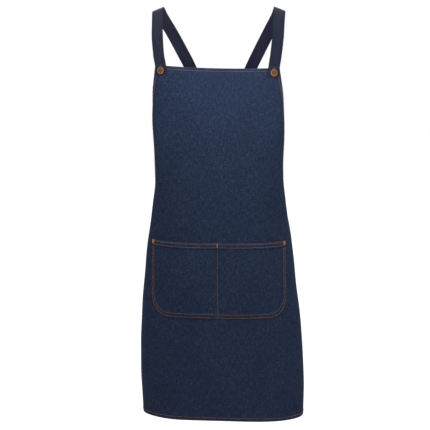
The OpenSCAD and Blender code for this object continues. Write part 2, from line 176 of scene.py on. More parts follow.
def new_object(name, points, faces, material, uv=None, values=None, smooth=True):
    """A mesh object from points in millimetres. uv is in millimetres too, one for each point."""
    mesh = bpy.data.meshes.new(name)
    mesh.from_pydata((np.asarray(points) * MM).tolist(), [], faces)
    if uv is not None:
        corner = np.zeros(len(mesh.loops), np.int32)
        mesh.loops.foreach_get("vertex_index", corner)
        layer = mesh.uv_layers.new(name="cloth")
        layer.data.foreach_set("uv", (np.asarray(uv) * MM)[corner].astype(np.float32).ravel())
    for key, value in (values or {}).items():
        layer = mesh.attributes.new(key, "FLOAT", "POINT")
        layer.data.foreach_set("value", np.asarray(value, np.float32))
    for each in material if isinstance(material, list) else [material]:
        mesh.materials.append(each)
    mesh.validate()
    if smooth:
        mesh.shade_smooth()
    obj = bpy.data.objects.new(name, mesh)
    bpy.context.scene.collection.objects.link(obj)
    return obj


# ---- The worn cloth ----


def oval(u, a, b):
    """A four-centred oval of half-axes a and b, followed for the length u from its front.

    Gives x, y and the angle of the outward normal there.
    """
    r = SIDE_ROUNDNESS * b
    big = ((a - r) ** 2 + b**2 - r**2) / (2 * (b - r))
    turn = np.arctan2(a - r, big - b)
    front, side = big * turn, r * (math.pi - 2 * turn)
    m = np.abs(u)
    on_side = (m >= front) & (m <= front + side)
    angle = np.where(m < front, m / big, math.pi - turn + (m - front - side) / big)
    angle = np.where(on_side, turn + (m - front) / r, angle)
    x = np.where(on_side, a - r + r * np.sin(angle), big * np.sin(angle))
    y = np.where(m < front, big - b - big * np.cos(angle), b - big - big * np.cos(angle))
    y = np.where(on_side, -r * np.cos(angle), y)
    return np.sign(u) * x, y, np.sign(u) * angle


broad_folds = wave_field(SEED, 14, 120, 260, upright=3)
small_folds = wave_field(SEED + 1, 22, 34, 90, upright=1.8)

# Soft creases as start, end, width and height.
CREASES = [
    ((30, 505), (86, 512), 3.5, 0.9),
    ((156, 196), (164, 400), 7, 1.5),
    ((-157, 210), (-168, 372), 9, 1.1),
    ((110, 22), (78, 84), 8, 0.6),
    ((-110, 22), (-78, 84), 8, 0.6),
    ((292, 356), (226, 470), 9, 2.2),
    ((300, 362), (286, 520), 8, 1.6),
    ((-292, 356), (-226, 470), 9, 2.2),
    ((-300, 362), (-286, 520), 8, 1.6),
]


def crease(u, s, start, end, width, height):
    du, ds = end[0] - start[0], end[1] - start[1]
    length = math.hypot(du, ds)
    u, s = u - start[0], s - start[1]
    t = np.clip((u * du + s * ds) / length**2, 0, 1)
    across = (u * ds - s * du) / length
    return height * bell(across, width) * np.sin(math.pi * t) ** 1.5


def from_button(u, s):
    """The flat distance to the nearest button."""
    return np.minimum(*[np.hypot(np.abs(u) - at[0], s - at[1]) for at in (FRONT_BUTTON, REAR_BUTTON)])


def drape(u, s):
    """How far the cloth stands off its worn shape. It lies flat under the buttons and the strap ends."""
    skirt = smoothstep(s, 430, PANEL_LENGTH)
    height = small_folds(u, s) * 0.28 + broad_folds(u, s) * (0.5 + 0.9 * skirt)
    for one in CREASES:
        height = height + crease(u, s, *one)
    return height * smoothstep(from_button(u, s), *BUTTON_CALM)


def cloth(u, s, out=0.0):
    """The point that stands out from the cloth's outer face at [u, s]."""
    u, s = np.asarray(u, float), np.asarray(s, float)
    x, y, angle = oval(u, curve(s, BODY_HALF_WIDTH), curve(s, BODY_HALF_DEPTH))
    sag = BIB_SAG * np.maximum(0, 1 - (u / BIB_HALF) ** 2) * np.maximum(0, 1 - s / SAG_DEPTH) ** 2
    out = out + drape(u, s)
    slant = x * curve(s, CLOTH_SLANT)
    reach = np.minimum(1, np.abs(u) / DIP_REACH)
    dip = HEM_DIP * np.sin(math.pi * reach) ** 2 * (s / PANEL_LENGTH) ** DIP_POWER
    x, y = x + curve(s, BODY_SWAY) + out * np.sin(angle), y + curve(s, BODY_MIDDLE) - out * np.cos(angle)
    return np.stack([x, y, -PANEL_TOP - s - sag - slant - dip], -1)


def normal_of(surface, u, s):
    across = surface(u + 1, s) - surface(u - 1, s)
    up = surface(u, s - 1) - surface(u, s + 1)
    return unit(np.cross(across, up))


def side_edge(q):
    """The side edge. q is 0 at the bib's corner, 1 where the arm curve starts and 2 at the wing's corner."""
    base = BIB_HALF + BIB_FLARE[-1][1]
    turn = math.pi / 2 * np.clip(q - 1, 0, 1)
    swept = base + (WING_HALF - base) * (1 - np.maximum(0, np.cos(turn)) ** ARM_POWER)
    u = np.where(q < 1, BIB_HALF + curve(q * ARM_START, BIB_FLARE), swept)
    s = np.where(q < 1, q * ARM_START, ARM_START + ARM_HEIGHT * np.sin(turn) ** ARM_POWER)
    return np.stack([u, s], -1)


# ---- Patterns: a closed outline with rings inset from it, and a grid inside them ----


class Edge:
    """One smooth edge of a pattern, followed by the share t of its length."""

    def __init__(self, points):
        self.points = np.asarray(points, float)
        self.along = lengths_along(self.points)
        self.length = self.along[-1]

    def at(self, t):
        return followed(np.asarray(t) * self.length, self.along, self.points)

    def heading(self, t):
        step = 0.5 / self.length
        return unit(self.at(np.clip(t + step, 0, 1)) - self.at(np.clip(t - step, 0, 1)))


def inward(heading):
    return np.stack([-heading[..., 1], heading[..., 0]], -1)


def corner_inset(before, after):
    """The way that a mitred corner moves for each millimetre of inset."""
    a, b = inward(before.heading(1.0)), inward(after.heading(0.0))
    return (a + b) / (1 + a @ b)


def inset_ring(edges, counts, d):
    """The outline moved inwards by d, with the same number of points for every d."""
    ring = []
    for k, edge in enumerate(edges):
        first = corner_inset(edges[k - 1], edge)
        last = corner_inset(edge, edges[(k + 1) % len(edges)])
        start = d * max(0, first @ edge.heading(0.0)) / edge.length
        end = 1 + d * min(0, last @ edge.heading(1.0)) / edge.length
        t = np.linspace(start, end, counts[k], endpoint=False)
        points = edge.at(t) + d * inward(edge.heading(t))
        points[0] = edge.at(0.0) + d * first
        ring.append(points)
    return np.concatenate(ring)


def inside(points, ring):
    """Whether each point is inside a closed ring."""
    x, y = points[:, 0, None], points[:, 1, None]
    a, b = ring, np.roll(ring, -1, axis=0)
    crosses = (a[:, 1] > y) != (b[:, 1] > y)
    run = np.where(b[:, 1] == a[:, 1], 1, b[:, 1] - a[:, 1])
    at = (b[:, 0] - a[:, 0]) * (y - a[:, 1]) / run + a[:, 0]
    return (crosses & (x < at)).sum(1) % 2 == 1


def grid_inside(ring, step):
    """The points of a square grid inside a ring, and not too near it."""
    low, high = ring.min(0), ring.max(0)
    axes = [np.arange(low[k] + step / 2, high[k], step) for k in (0, 1)]
    grid = np.stack(np.meshgrid(*axes), -1).reshape(-1, 2)
    grid = grid[inside(grid, ring)]
    gap = np.array([np.hypot(*(ring - p).T).min() for p in grid])
    return grid[gap > step * 0.55]


def seam_columns(ring, places, step):
    """Fine columns of points down a seam at the middle of a pattern."""
    low, high = ring[:, 1].min() + step / 2, ring[:, 1].max() - step / 2
    down = np.linspace(low, high, round((high - low) / step))
    return np.concatenate([np.stack([np.full(len(down), u), down], -1) for u in places])


def pattern(edges, insets, spacing, seam=()):
    """A pattern piece as flat points, their distance from the edge, their place along it, and its faces."""
    counts = [max(2, round(edge.length / spacing)) for edge in edges]
    rings = [inset_ring(edges, counts, d) for d in insets]
    size = len(rings[0])
    along = np.concatenate([[0], np.cumsum(np.hypot(*np.diff(rings[0], axis=0).T))])
    inner = grid_inside(rings[-1], spacing * 1.2)
    if seam:
        clear = np.abs(inner[:, 0]) > max(seam) + spacing * 0.6
        inner = np.concatenate([inner[clear], seam_columns(rings[-1], seam, spacing * 0.8)])
    flat = np.concatenate([*rings, inner])
    base = (len(rings) - 1) * size
    mirrored = [(u, -s) for u, s in flat[base:]]
    loop = [(i, (i + 1) % size) for i in range(size)]
    _, _, cells, sources, _, _ = delaunay_2d_cdt(mirrored, loop, [], 1, 1e-6)
    faces = [
        (k * size + i, (k + 1) * size + i, (k + 1) * size + (i + 1) % size, k * size + (i + 1) % size)
        for k in range(len(rings) - 1)
        for i in range(size)
    ]
    faces += [tuple(base + sources[i][0] for i in cell) for cell in cells]
    depth = np.concatenate([np.repeat(insets, size), np.full(len(inner), insets[-1] + spacing)])
    place = np.concatenate([np.tile(along, len(rings)), np.zeros(len(inner))])
    return flat, depth, place, faces, size


def area_of(ring):
    """The flat area inside a ring, in square metres."""
    a, b = ring, np.roll(ring, -1, axis=0)
    return abs((a[:, 0] * b[:, 1] - a[:, 1] * b[:, 0]).sum()) / 2 * MM * MM


def two_faced(name, outer, inner, faces, rim, flat, depth, materials, turned=0.0):
    """A closed sheet from its outer and inner points. The first rim points are shared by both faces.

    The inner face has the second material, except within turned of the edge, where the cloth is folded over.
    """
    total = len(outer)
    points = np.concatenate([outer, inner[rim:]])
    back = [tuple(i if i < rim else i + total - rim for i in reversed(face)) for face in faces]
    uv = np.concatenate([flat, flat[rim:]])
    edge = np.minimum(np.concatenate([depth, depth[rim:]]), WEAR_AND_HIGHLIGHT_REACH)
    obj = new_object(name, points, faces + back, materials, uv=uv, values={"edge": edge})
    slots = np.zeros(len(obj.data.polygons), np.int32)
    slots[len(faces) :] = [not all(depth[i] < turned for i in face) for face in faces]
    obj.data.polygons.foreach_set("material_index", slots)
    return obj


def folded(d, thick):
    """Both faces of a turned edge at the distance d from its fold, from the cloth's outer face."""
    r = HEM_THICK / 2
    round_part = np.sqrt(1 - (1 - np.clip(d / r, 0, 1)) ** 2)
    return -thick / 2 * (1 - round_part), -thick / 2 * (1 + round_part)


hem_waves = wave_field(SEED + 2, 12, 9, 16)


def roping(d, place, reach):
    """The small slanted ripples of a sewn hem."""
    ripple = np.sin(math.tau * (place + 1.3 * d) / 11 + 2 * hem_waves(place / 5, d * 0))
    return 0.16 * ripple * smoothstep(reach - d, 0, reach / 2)


# ---- Panel ----


def panel_edges():
    q = np.linspace(0, 2, 800)
    right = side_edge(q)
    left = (right * [-1, 1])[::-1]
    wide, low = WING_HALF, PANEL_LENGTH
    return [
        Edge([(-BIB_HALF, 0), (BIB_HALF, 0)]),
        Edge(right),
        Edge([(wide, WING_TOP), (wide, low)]),
        Edge([(wide, low), (-wide, low)]),
        Edge([(-wide, low), (-wide, WING_TOP)]),
        Edge(left),
    ]


PANEL_INSETS = [0, 0.12, 0.4, 0.8, 1.3, 2.5, 4.5, 6.0, 6.5, 7.0, 8.6, 9.7, 10.0, 10.3, 10.9]


def build_panel(materials):
    flat, depth, place, faces, rim = pattern(panel_edges(), PANEL_INSETS, 4.2)
    u, s = flat.T
    turned = smoothstep(-depth, -HEM - 0.25, -HEM + 0.05)
    pad = smoothstep(BUTTON_PAD - from_button(u, s), 0, 3)
    thick = DENIM + (HEM_THICK - DENIM) * np.maximum(turned, pad)
    outer, inner = folded(depth, thick)
    ripple = roping(depth, place, HEM)
    groove = GROOVE_DEPTH * bell(depth - STITCH_INSET, 0.45)
    ridge = 0.1 * bell(depth - HEM + 0.6, 0.8)
    outer = outer - groove + ridge + ripple
    inner = inner + ripple + groove
    points = cloth(u, s, outer), cloth(u, s, inner)
    panel = two_faced("denim_panel", *points, faces, rim, flat, depth, materials, HEM + 0.2)
    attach(panel, "root")
    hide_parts("apron_panel")
    return panel, area_of(flat[:rim])


# ---- Pocket ----


def pocket_half_at(d):
    over = np.maximum(0, d - POCKET_HEIGHT + POCKET_ROUND)
    return POCKET_HALF - POCKET_ROUND + np.sqrt(np.maximum(0, POCKET_ROUND**2 - over**2))


def pocket_inset(u, d):
    """The distance of a place on the pocket from its sewn edge."""
    x, low = np.abs(u) - POCKET_HALF + POCKET_ROUND, d - POCKET_HEIGHT + POCKET_ROUND
    straight = POCKET_ROUND - np.maximum(x, low)
    return np.where((x > 0) & (low > 0), POCKET_ROUND - np.hypot(x, low), straight)


def pocket_stand(u, d):
    """How far the pocket's inner face stands off the panel."""
    across = np.clip(np.abs(u) / np.maximum(pocket_half_at(d), 1), 0, 1)
    open_share = 1 - np.clip(d / POCKET_HEIGHT, 0, 1) ** 3
    return POCKET_SEAT + POCKET_GAPE * np.maximum(0, np.sin(math.pi * across)) ** 0.8 * open_share


def pocket_thickness(u, d):
    top = smoothstep(-d, -HEM - 2.3, -HEM - 1.9)
    sides = smoothstep(-pocket_inset(u, d), -HEM - 1.3, -HEM - 0.9)
    return np.maximum(DENIM + (HEM_THICK - DENIM) * top, DENIM + (POCKET_SIDE_THICK - DENIM) * sides)


def double_row(distance, first):
    return bell(distance - first, 0.5) + bell(distance - first - ROW_GAP, 0.5)


def pocket_grooves(u, d):
    """How far the rows of thread pull the pocket's outer face in."""
    edge_rows = double_row(pocket_inset(u, d), POCKET_EDGE_ROW)
    pull = double_row(d, POCKET_TOP_ROW) + edge_rows * (d > HEM)
    return GROOVE_DEPTH * np.minimum(pull, 1) + 0.3 * bell(u, 1.1) * (d > HEM)


def pocket_drop(u, d):
    """How far a place on the pocket is below the panel's top. Its mouth hangs lowest in the middle."""
    rise = MOUTH_RISE * (u / POCKET_HALF) ** 2 * np.clip(1 - d / POCKET_HEIGHT, 0, 1)
    return POCKET_TOP + d - rise


def pocket_face(u, d, lift=0.0):
    """A point of the pocket's outer face, raised by lift."""
    out = pocket_stand(u, d) + pocket_thickness(u, d) - pocket_grooves(u, d) + lift
    return cloth(u, pocket_drop(u, d), out)


def round_path(inset, top):
    """The pocket's sides and bottom at an inset from its edge, from the top right round to the top left."""
    x, low, r = POCKET_HALF - inset, POCKET_HEIGHT - inset, POCKET_ROUND - inset
    turn = np.linspace(0, math.pi / 2, 40)
    corner = np.stack([x - r + r * np.cos(turn), low - r + r * np.sin(turn)], -1)
    side = np.linspace((x, top), (x, low - r), 60, endpoint=False)
    bottom = np.linspace((x - r, low), (0, low), 60)[1:]
    half = np.concatenate([side, corner, bottom])
    return np.concatenate([half, (half * [-1, 1])[-2::-1]])


DIVIDER_COLUMNS = (-3.6, -2.2, -1.2, -0.6, 0, 0.6, 1.2, 2.2, 3.6)
POCKET_INSETS = [0, 0.12, 0.4, 0.8, 1.3, 2.0, 2.5, 3.2, 5.5, 8.4, 9.0, 9.5, 10.2, 10.9, 11.3, 11.9, 12.4, 13]


def build_pocket(materials):
    edges = [Edge([(-POCKET_HALF, 0), (POCKET_HALF, 0)]), Edge(round_path(0, 0))]
    flat, depth, place, faces, rim = pattern(edges, POCKET_INSETS, 3.4, DIVIDER_COLUMNS)
    u, d = flat.T
    thick = pocket_thickness(u, d)
    outer, inner = folded(depth, thick)
    ripple = roping(depth, place, HEM) * 0.8
    floor = pocket_stand(u, d)
    outer = floor + thick + outer - pocket_grooves(u, d) + np.maximum(ripple, -0.02)
    inner = floor + thick + inner
    points = [cloth(u, pocket_drop(u, d), out) for out in (outer, inner)]
    pocket = two_faced("denim_pocket", *points, faces, rim, flat, depth, materials)
    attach(pocket, "root")
    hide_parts("pocket_panel")
    return pocket, area_of(flat[:rim])


# ---- Thread ----

STITCH_STATIONS = np.array([0, 0.12, 0.32, 0.5, 0.68, 0.88, 1])
STITCH_SIDES = 6
STITCH_SUNK = 0.25


def tube_faces(rows, size):
    """The walls and the two ends of a closed tube made of rings of points."""
    faces = [
        (i * size + j, i * size + (j + 1) % size, (i + 1) * size + (j + 1) % size, (i + 1) * size + j)
        for i in range(rows - 1)
        for j in range(size)
    ]
    faces += [tuple(range(size))[::-1], tuple(range((rows - 1) * size, rows * size))]
    return faces


def stitches(name, starts, ends, normals, body, replaced, material, slot, radius=THREAD_RADIUS, lift=0.34):
    """Separate stitches, each a thread that comes up at its start, arches and goes down at its end."""
    rng = np.random.default_rng(len(name) + len(starts))
    arch = np.sin(math.pi * STITCH_STATIONS)
    across = unit(np.cross(ends - starts, normals))
    jitter = rng.uniform(-0.1, 0.1, (len(starts), 1))
    starts, ends = starts + across * jitter, ends - across * jitter
    middle = starts[:, None] + (ends - starts)[:, None] * STITCH_STATIONS[:, None]
    height = -STITCH_SUNK + (lift + STITCH_SUNK) * arch**0.6
    middle = middle + normals[:, None] * height[:, None]
    turn = np.arange(STITCH_SIDES) * math.tau / STITCH_SIDES
    thick = radius * (0.6 + 0.4 * arch**0.5)
    ring = across[:, None] * np.cos(turn)[:, None] + normals[:, None] * np.sin(turn)[:, None]
    points = middle[:, :, None] + ring[:, None] * thick[:, None, None]
    one = tube_faces(len(STITCH_STATIONS), STITCH_SIDES)
    size = len(STITCH_STATIONS) * STITCH_SIDES
    faces = [tuple(i * size + k for k in face) for i in range(len(starts)) for face in one]
    shade = np.repeat(rng.uniform(0, 1, len(starts)), size)
    obj = new_object(name, points.reshape(-1, 3), faces, material, values={"shade": shade})
    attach(obj, body)
    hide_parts(replaced)
    return obj


def row_ends(route, surface):
    """Where the stitches of one row start and end, and their normals. route is a line of flat places."""
    along = lengths_along(surface(*route.T))
    count = int(along[-1] // STITCH_PITCH)
    first = (along[-1] - count * STITCH_PITCH) / 2 + np.arange(count) * STITCH_PITCH
    shares = (0, STITCH_LENGTH, STITCH_LENGTH / 2)
    start, end, middle = (followed(first + share, along, route).T for share in shares)
    return surface(*start), surface(*end), normal_of(surface, *middle)


def join_rows(rows):
    return [np.concatenate(part) for part in zip(*rows)]


def straight(start, end):
    return np.linspace(start, end, max(2, round(math.dist(start, end) / 2)))


def side_route(side):
    q = np.linspace(0.04, 1.96, 400)
    heading = unit(side_edge(np.minimum(2, q + 0.01)) - side_edge(np.maximum(0, q - 0.01)))
    line = side_edge(q) + STITCH_INSET * inward(heading)
    return line * [side, 1]


def sew(place, routes, surface, copper):
    """The rows of thread at one place, along routes over a surface."""
    ends = join_rows([row_ends(route, surface) for route in routes])
    stitches(f"{place}_stitches", *ends, "root", f"{place}_stitching", copper, "copper_thread")


def build_panel_stitches(copper):
    inner_u, low = WING_HALF - STITCH_INSET, PANEL_LENGTH - STITCH_INSET
    bib = BIB_HALF - STITCH_INSET
    sew("bib_top", [straight((-bib, STITCH_INSET), (bib, STITCH_INSET))], cloth, copper)
    sew("hem", [straight((-inner_u, low), (inner_u, low))], cloth, copper)
    for word, side in SIDES.items():
        start = (side * inner_u, WING_TOP + STITCH_INSET)
        sew(f"{word}_wing", [straight(start, (side * inner_u, low))], cloth, copper)
        sew(f"{word}_side", [side_route(side)], cloth, copper)


def build_pocket_stitches(copper):
    reach = POCKET_HALF - 3
    tops = [POCKET_TOP_ROW, POCKET_TOP_ROW + ROW_GAP]
    sew("pocket_top", [straight((-reach, d), (reach, d)) for d in tops], pocket_face, copper)
    insets = [POCKET_EDGE_ROW, POCKET_EDGE_ROW + ROW_GAP]
    sew("pocket_edge", [round_path(i, HEM + 2) for i in insets], pocket_face, copper)
    divider = straight((0, HEM + 2), (0, POCKET_HEIGHT - POCKET_EDGE_ROW))
    sew("pocket_divider", [divider], pocket_face, copper)


TACK_LIFT = 0.35
TACK_HALF_WIDTH, TACK_TOP, TACK_BOTTOM = 4.5, 0.8, 7.4


def bar_tack(name, replaced, low, high, copper):
    """A dense zigzag over the box from low to high. Each thread runs across in short arched parts."""
    parts = max(1, round((high[0] - low[0]) / 2.2))
    rows = []
    for d in np.arange(low[1], high[1], 0.6):
        places = np.stack([np.linspace(low[0], high[0], parts + 1), np.linspace(d, d + 0.3, parts + 1)], -1)
        points = pocket_face(*places.T, TACK_LIFT)
        middles = (places[:-1] + places[1:]) / 2
        rows.append((points[:-1], points[1:], normal_of(pocket_face, *middles.T)))
    starts, ends, normals = join_rows(rows)
    stitches(name, starts, ends, normals, "root", replaced, copper, "copper_thread", lift=0.5)


def build_bar_tacks(bright):
    for word, side in SIDES.items():
        middle = side * (POCKET_HALF - 6)
        low, high = (middle - TACK_HALF_WIDTH, TACK_TOP), (middle + TACK_HALF_WIDTH, TACK_BOTTOM)
        bar_tack(f"{word}_bar_tack_zigzag", f"{word}_bar_tack", low, high, bright)
    bar_tack("centre_bar_tack_zigzag", "centre_bar_tack", (-1.1, 1), (1.1, 10), bright)


# ---- Straps ----

STRAP_WIDTH, TAPE, STRAP_TAIL, FLAT_END = 25, 1.1, 10, 17
STRAP_MIDDLE = 1.5
TURNED_LENGTH, TURNED_THICK = 24, 1.8
CROSSING_Z, CROSSING_LIFT, CROSSING_REACH = -263, 1.3, 90
STRAP_STEP = 3.5
HOLE_D, SLIT_WIDTH, SLIT_LENGTH = 7.2, 1.4, 9

# The right strap's middle line between the buttons, as in the CAD source: each point's place, and the way its
# outer face looks there.
STRAP_ROUTE = [
    ((117.5, -74, -96), (0.4, -0.92, 0.06)),
    ((121.5, -59, -57), (0.36, -0.84, 0.4)),
    ((123.5, -29, -17), (0.37, -0.5, 0.78)),
    ((124.5, 0, 0.8), (0.37, 0, 0.93)),
    ((118.5, 30, -13), (0.3, 0.5, 0.81)),
    ((102, 60, -42), (0.1, 0.84, 0.5)),
    ((82, 81, -80), (0.04, 0.97, 0.22)),
    ((65, 92, -114), (0, 0.99, 0.12)),
    ((32, 102, -188), (0, 1, 0.03)),
    ((0, 105, -263), (0, 1, 0)),
    ((-33, 104, -338), (-0.1, 1, -0.03)),
    ((-62, 94, -402), (-0.35, 0.93, -0.05)),
]
FRONT_POINTS = 4


def button_place(name):
    """The point of the cloth under a button, and the button's axis."""
    joint = JOINTS[f"{name}_button_spin"]
    return np.array(joint["pos_m"]) / MM, unit(np.array(joint["axis"]))


def in_plane(v, normal):
    return unit(v - (v @ normal) * normal)


def strap_end(name, towards):
    """A strap's middle under its button, the way it leaves towards a point, and the button's axis."""
    place, axis = button_place(name)
    middle = place + STRAP_MIDDLE * axis
    return middle, in_plane(towards - middle, axis), axis


def strap_ends(side):
    word, other = SIDE_WORDS[side], SIDE_WORDS[-side]
    flip = np.array([side, 1, 1])
    front = strap_end(f"front_{word}", np.array(STRAP_ROUTE[0][0]) * flip)
    rear = strap_end(f"rear_{other}", np.array(STRAP_ROUTE[-1][0]) * flip)
    return front, rear


def strap_line(side):
    """Points down the middle of a strap, the way its outer face looks there, and their place along it."""
    flip = np.array([side, 1, 1])
    (front, front_along, front_axis), (rear, rear_along, rear_axis) = strap_ends(side)
    places, faces = [front + FLAT_END * front_along], [front_axis]
    for i, (place, face) in enumerate(STRAP_ROUTE):
        far = (place[2] - CROSSING_Z) / CROSSING_REACH
        lift = -side * CROSSING_LIFT * max(0, 1 - far**2) if i >= FRONT_POINTS else 0
        places.append(np.array(place) * flip + [0, lift, 0])
        faces.append(np.array(face) * flip)
    places.append(rear + FLAT_END * rear_along)
    faces.append(rear_axis)
    t = np.linspace(0, len(places) - 1, 40 * len(places))
    line, look = curve(t, list(enumerate(places))), unit(curve(t, list(enumerate(faces))))
    stub = np.linspace(-STRAP_TAIL, FLAT_END, 12, endpoint=False)[:, None]
    line = np.concatenate([front + stub * front_along, line, (rear + stub * rear_along)[::-1]])
    look = np.concatenate([np.tile(front_axis, (12, 1)), look, np.tile(rear_axis, (12, 1))])
    along = lengths_along(line)
    place = np.linspace(0, along[-1], round(along[-1] / STRAP_STEP))
    return followed(place, along, line), unit(followed(place, along, look)), place


def tape_section():
    """Across the tape from edge to edge: place, and the share of its thickness there."""
    half = STRAP_WIDTH / 2
    inner = np.array([0.25, 0.8, 1.4, 2.2, 3.2, 6, 9])
    x = np.concatenate([-half + inner, [0], half - inner[::-1]])
    share = [0.72, 1.08, 1.12, 1.05, 0.98, 1, 1]
    return x, np.array([*share, 1, *share[::-1]])


def build_strap(side, tape_material):
    word = SIDE_WORDS[side]
    line, look, place = strap_line(side)
    heading = unit(np.gradient(line, axis=0))
    across = unit(np.cross(heading, look))
    out = np.cross(across, heading)
    x, share = tape_section()
    from_end = np.minimum(place, place[-1] - place)
    turned = smoothstep(-from_end, -TURNED_LENGTH - 0.8, -TURNED_LENGTH)
    thick = TAPE + (TURNED_THICK - TAPE) * turned
    waves = wave_field(SEED + 3 + side, 10, 25, 70)
    loose = smoothstep(from_end, 24, 60)[:, None]
    wander = 0.22 * waves(place[:, None] + 0 * x, 0.6 * x + 0 * place[:, None]) * loose
    face = wander + thick[:, None] / 2 * share
    reverse = wander - thick[:, None] / 2 * share
    columns = np.concatenate([[-STRAP_WIDTH / 2], x, [STRAP_WIDTH / 2], x[::-1]])
    heights = np.concatenate([wander[:, :1], face, wander[:, -1:], reverse[:, ::-1]], 1)
    points = line[:, None] + across[:, None] * columns[:, None] + out[:, None] * heights[..., None]
    rows, size = heights.shape
    faces = [face[::-1] for face in tube_faces(rows, size)]
    uv = np.stack([np.tile(columns, (rows, 1)), np.tile(place[:, None], (1, size))], -1).reshape(-1, 2)
    strap = new_object(f"{word}_strap_tape", points.reshape(-1, 3), faces, tape_material, uv=uv)
    for middle, leaving, axis in strap_ends(side):
        cut(strap, keyhole(middle, leaving, axis))
    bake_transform(strap)
    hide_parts(f"{word}_strap_front_run", f"{word}_strap_back_run")
    return strap, place[-1] * MM


def keyhole_outline(grow=0.0, steps=28):
    """The buttonhole's outline as [along, across], with its slit towards the strap."""
    r, w, far = HOLE_D / 2 + grow, SLIT_WIDTH / 2 + grow, SLIT_LENGTH + grow
    begin = math.asin(w / r)
    turn = np.linspace(begin, math.tau - begin, steps)
    ring = np.stack([r * np.cos(turn), r * np.sin(turn)], -1)
    return np.concatenate([ring, [(far, -w), (far, w)]])


def keyhole(middle, leaving, axis):
    """A cutter for one buttonhole."""
    outline = keyhole_outline()
    sideways = np.cross(axis, leaving)
    flat = middle + outline[:, :1] * leaving + outline[:, 1:] * sideways
    points = np.concatenate([flat - 4 * axis, flat + 4 * axis])
    faces = tube_faces(2, len(outline))
    return new_object("keyhole_cutter", points, faces, bpy.data.materials[0], smooth=False)


def cut(obj, cutter):
    """Takes the cutter's shape out of obj, and removes the cutter."""
    modifier = obj.modifiers.new("cut", "BOOLEAN")
    modifier.operation = "DIFFERENCE"
    modifier.solver = "EXACT"
    modifier.object = cutter
    evaluated = obj.evaluated_get(bpy.context.evaluated_depsgraph_get())
    obj.data = bpy.data.meshes.new_from_object(evaluated)
    obj.modifiers.clear()
    bpy.data.objects.remove(cutter)


SEAM_PITCH, SEAM_STITCH = 2.9, 2.2
BINDING_WIDTH, BINDING_STITCHES = 1.5, 78


def end_seam(x, top, leaving, sideways):
    """A row of stitches across a strap's end, at the distance x from its button."""
    half = STRAP_WIDTH / 2 - 2.5
    first = np.arange(-half, half - 2, SEAM_PITCH)[:, None]
    line = top + x * leaving
    return line + first * sideways, line + (first + SEAM_STITCH) * sideways


def binding(top, leaving, sideways):
    """The stitches round a buttonhole."""
    outline = keyhole_outline(0.2, 60)
    bound = Edge(np.concatenate([outline, outline[:1]]))
    t = np.linspace(0, 1, BINDING_STITCHES, endpoint=False)
    inner = bound.at(t)
    outer = inner - BINDING_WIDTH * inward(bound.heading(t))
    return [top + p[:, :1] * leaving + p[:, 1:] * sideways for p in (inner, outer)]


def build_strap_stitches(side, navy):
    """The seam that holds each turned end, and the thread that binds each buttonhole."""
    word = SIDE_WORDS[side]
    bodies = {"front": f"{word}_strap", "rear": "root"}
    for (place, body), (middle, leaving, axis) in zip(bodies.items(), strap_ends(side)):
        sideways = np.cross(axis, leaving)
        top = middle + TURNED_THICK / 2 * axis
        seams = (3 - STRAP_TAIL, TURNED_LENGTH - STRAP_TAIL - 2.5)
        rows = [end_seam(x, top, leaving, sideways) for x in seams]
        rows.append(binding(top, leaving, sideways))
        starts, ends = join_rows(rows)
        normals = np.tile(axis, (len(starts), 1))
        name, replaced = f"{word}_strap_{place}_stitches", f"{word}_strap_{place}_stitching"
        stitches(name, starts, ends, normals, body, replaced, navy, "strap_thread", radius=0.3, lift=0.2)


# ---- Buttons ----

CAP_BASE, CAP_RADIUS, CAP_HEIGHT, RIM = 3.0, 7, 3.4, 1.6
SHANK_RADIUS, NAIL_RADIUS, CAD_HEM = 3, 1.1, 2.6
RIB_COUNT = 40
LATHE_STEPS = 160


def lathe(name, profile, place, axis, material, patina, ribs=None):
    """A turned piece. profile is a line of [radius, height], and ribs adds height by radius and angle."""
    profile = np.array(profile, float)
    up = in_plane(np.array([0.0, 0.0, 1.0]), axis)
    sideways = np.cross(axis, up)
    turn = np.arange(LATHE_STEPS) * math.tau / LATHE_STEPS
    r, h = profile[:, 0, None], profile[:, 1, None] + 0 * turn
    if ribs is not None:
        h = h + ribs(r, turn) * (patina[:, None] > 0)
    spin = np.cos(turn)[:, None] * up + np.sin(turn)[:, None] * sideways
    points = place + r[..., None] * spin + h[..., None] * axis
    faces = tube_faces(len(profile), LATHE_STEPS)
    values = {"patina": np.repeat(patina, LATHE_STEPS)}
    return new_object(name, points.reshape(-1, 3), faces, material, values=values)


def arc(cx, cy, r, start, end, steps):
    turn = np.radians(np.linspace(start, end, steps))
    return np.stack([cx + r * np.cos(turn), cy + r * np.sin(turn)], -1)


def cap_profile():
    """The cap from its underside, over its rolled rim, to the middle of its recessed face, and its patina."""
    top, r, dish = CAP_BASE + CAP_HEIGHT, RIM / 2, CAP_RADIUS - 2.2
    under = [(SHANK_RADIUS + 0.2, CAP_BASE), (dish, CAP_BASE), (CAP_RADIUS - 1.0, CAP_BASE + 0.1)]
    bottom = arc(CAP_RADIUS - r, CAP_BASE + r, r, -60, 0, 7)
    wall = [(CAP_RADIUS + 0.03, CAP_BASE + CAP_HEIGHT / 2)]
    rim = arc(CAP_RADIUS - r, top - r, r, 0, 165, 16)
    slope = [(dish, top - 0.95), (dish - 0.4, top - 1.05), (dish - 1.0, top - 1.0), (dish - 1.7, top - 0.95)]
    step = arc(dish - 2.1, top - 1.0, 0.32, 20, 170, 8)
    moat = [(dish - 2.9, top - 1.2), (1.5, top - 1.25)]
    eye = [(1.3, top - 0.95), (0.8, top - 0.78), (0.25, top - 0.74)]
    whole = np.concatenate([under, bottom, wall, rim, slope, step, moat, eye])
    rubbed = len(under) + len(bottom) + len(wall) + 12
    patina = np.ones(len(whole))
    patina[:rubbed] = 0
    patina[: len(under)] = 0.6
    return whole, patina


